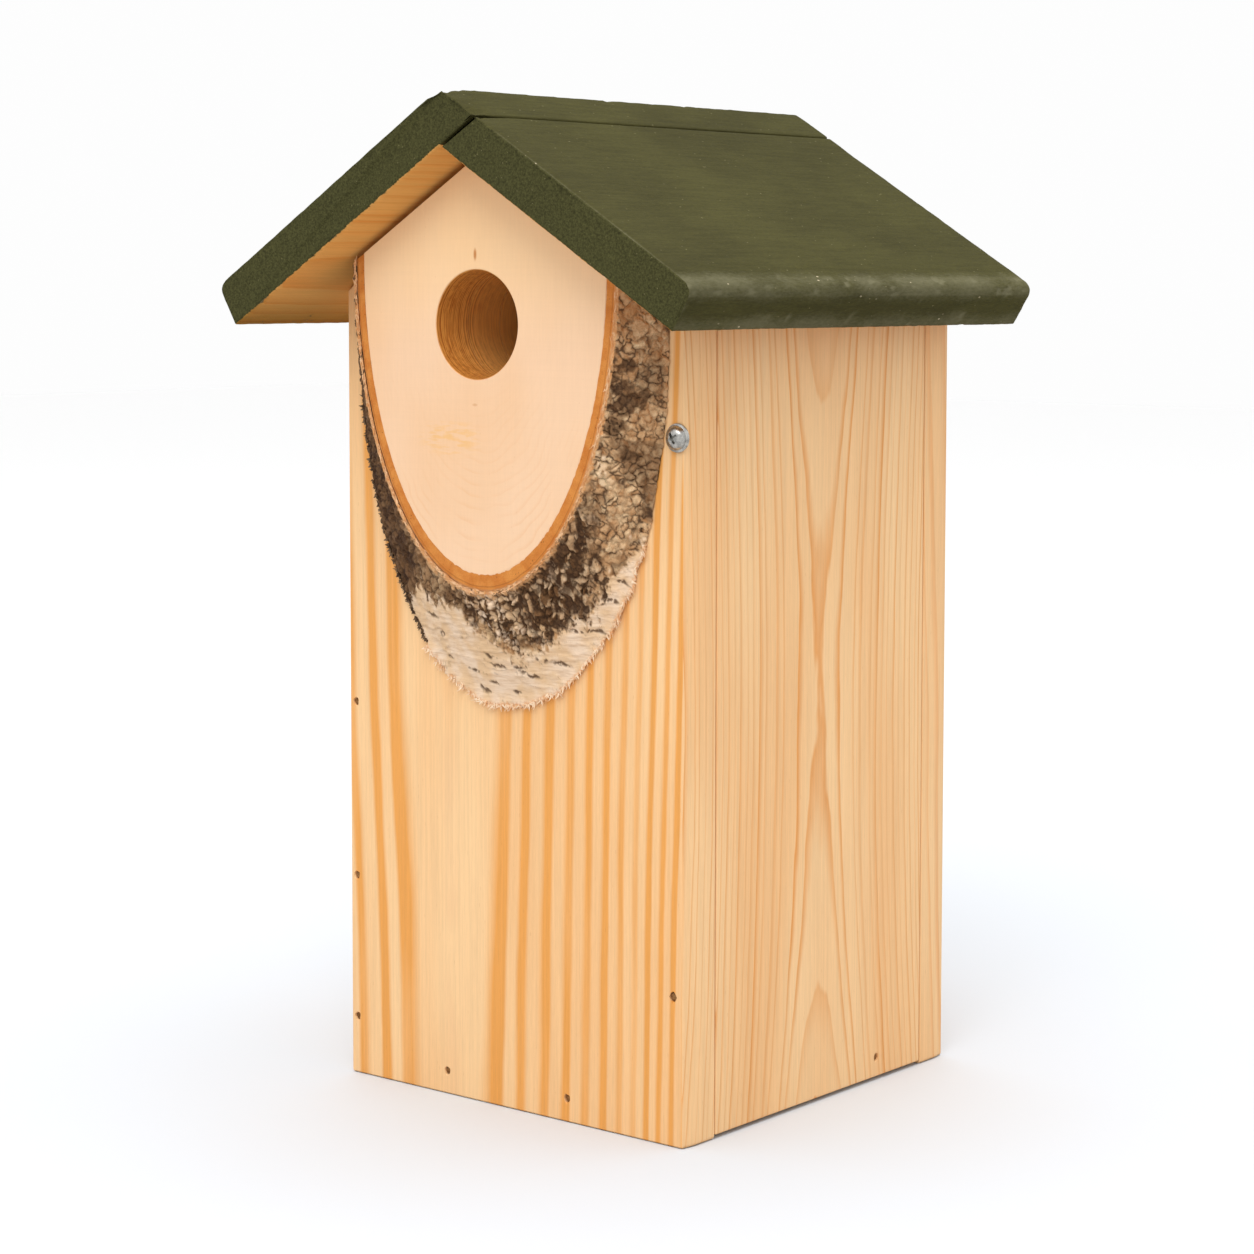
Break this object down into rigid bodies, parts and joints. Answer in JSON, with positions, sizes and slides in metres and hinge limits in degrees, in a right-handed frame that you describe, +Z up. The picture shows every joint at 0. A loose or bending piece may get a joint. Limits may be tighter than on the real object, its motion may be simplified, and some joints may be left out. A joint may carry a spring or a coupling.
{
  "type": "birdhouse",
  "caption": "Wooden nest box with a pitched two-board roof, a round entrance through a bark-edged log slice and a side that swings open for cleaning.",
  "frame": {"origin": "centre of the box's base, on the plane it stands on", "axes": "+Z up, -Y out of the entrance side, +X towards the side that swings open"},
  "size_m": [0.1838, 0.1737, 0.3048],
  "materials": {
    "pine": "bare planed pine, honey coloured",
    "roof_stain": "dark green matt wood stain",
    "birch_wood": "fine sawn pale end grain",
    "inner_bark": "raw orange-brown inner bark",
    "birch_bark": "rough flaking bark",
    "bright_screw": "zinc plated",
    "brad_steel": "dull brown steel",
    "zinc_plate": "zinc plated sheet"
  },
  "bodies": {
    "birdhouse": {"front_board": "pine", "entrance_collar": "pine", "back_board": "pine", "left_side": "pine", "floor_board": "pine", "roof_board_left": "roof_stain", "roof_board_right": "roof_stain", "slice_wood": "birch_wood", "slice_inner_bark": "inner_bark", "slice_bark": "birch_bark", "slice_screw_left": "bright_screw", "slice_screw_right": "bright_screw", "hanger_plate": "zinc_plate", "hanger_screw_lower": "bright_screw", "hanger_screw_upper": "bright_screw", "brad_front_edge_1": "brad_steel", "brad_front_edge_2": "brad_steel", "brad_front_edge_3": "brad_steel", "brad_front_foot_1": "brad_steel", "brad_front_foot_2": "brad_steel", "brad_back_edge_1": "brad_steel", "brad_back_edge_2": "brad_steel", "brad_back_edge_3": "brad_steel", "brad_back_foot_1": "brad_steel", "brad_back_foot_2": "brad_steel", "stop_pin": "brad_steel"},
    "swinging_side": {"side_door": "pine", "pivot_screw_front": "bright_screw", "pivot_screw_back": "bright_screw", "brad_door_foot": "brad_steel"}
  },
  "joints": [
    {"name": "side_swing", "type": "hinge", "parent": "birdhouse", "child": "swinging_side", "pos_m": [0.0646, 0, 0.205], "axis": [0, -1, 0], "range_deg": [0, 100]}
  ]
}
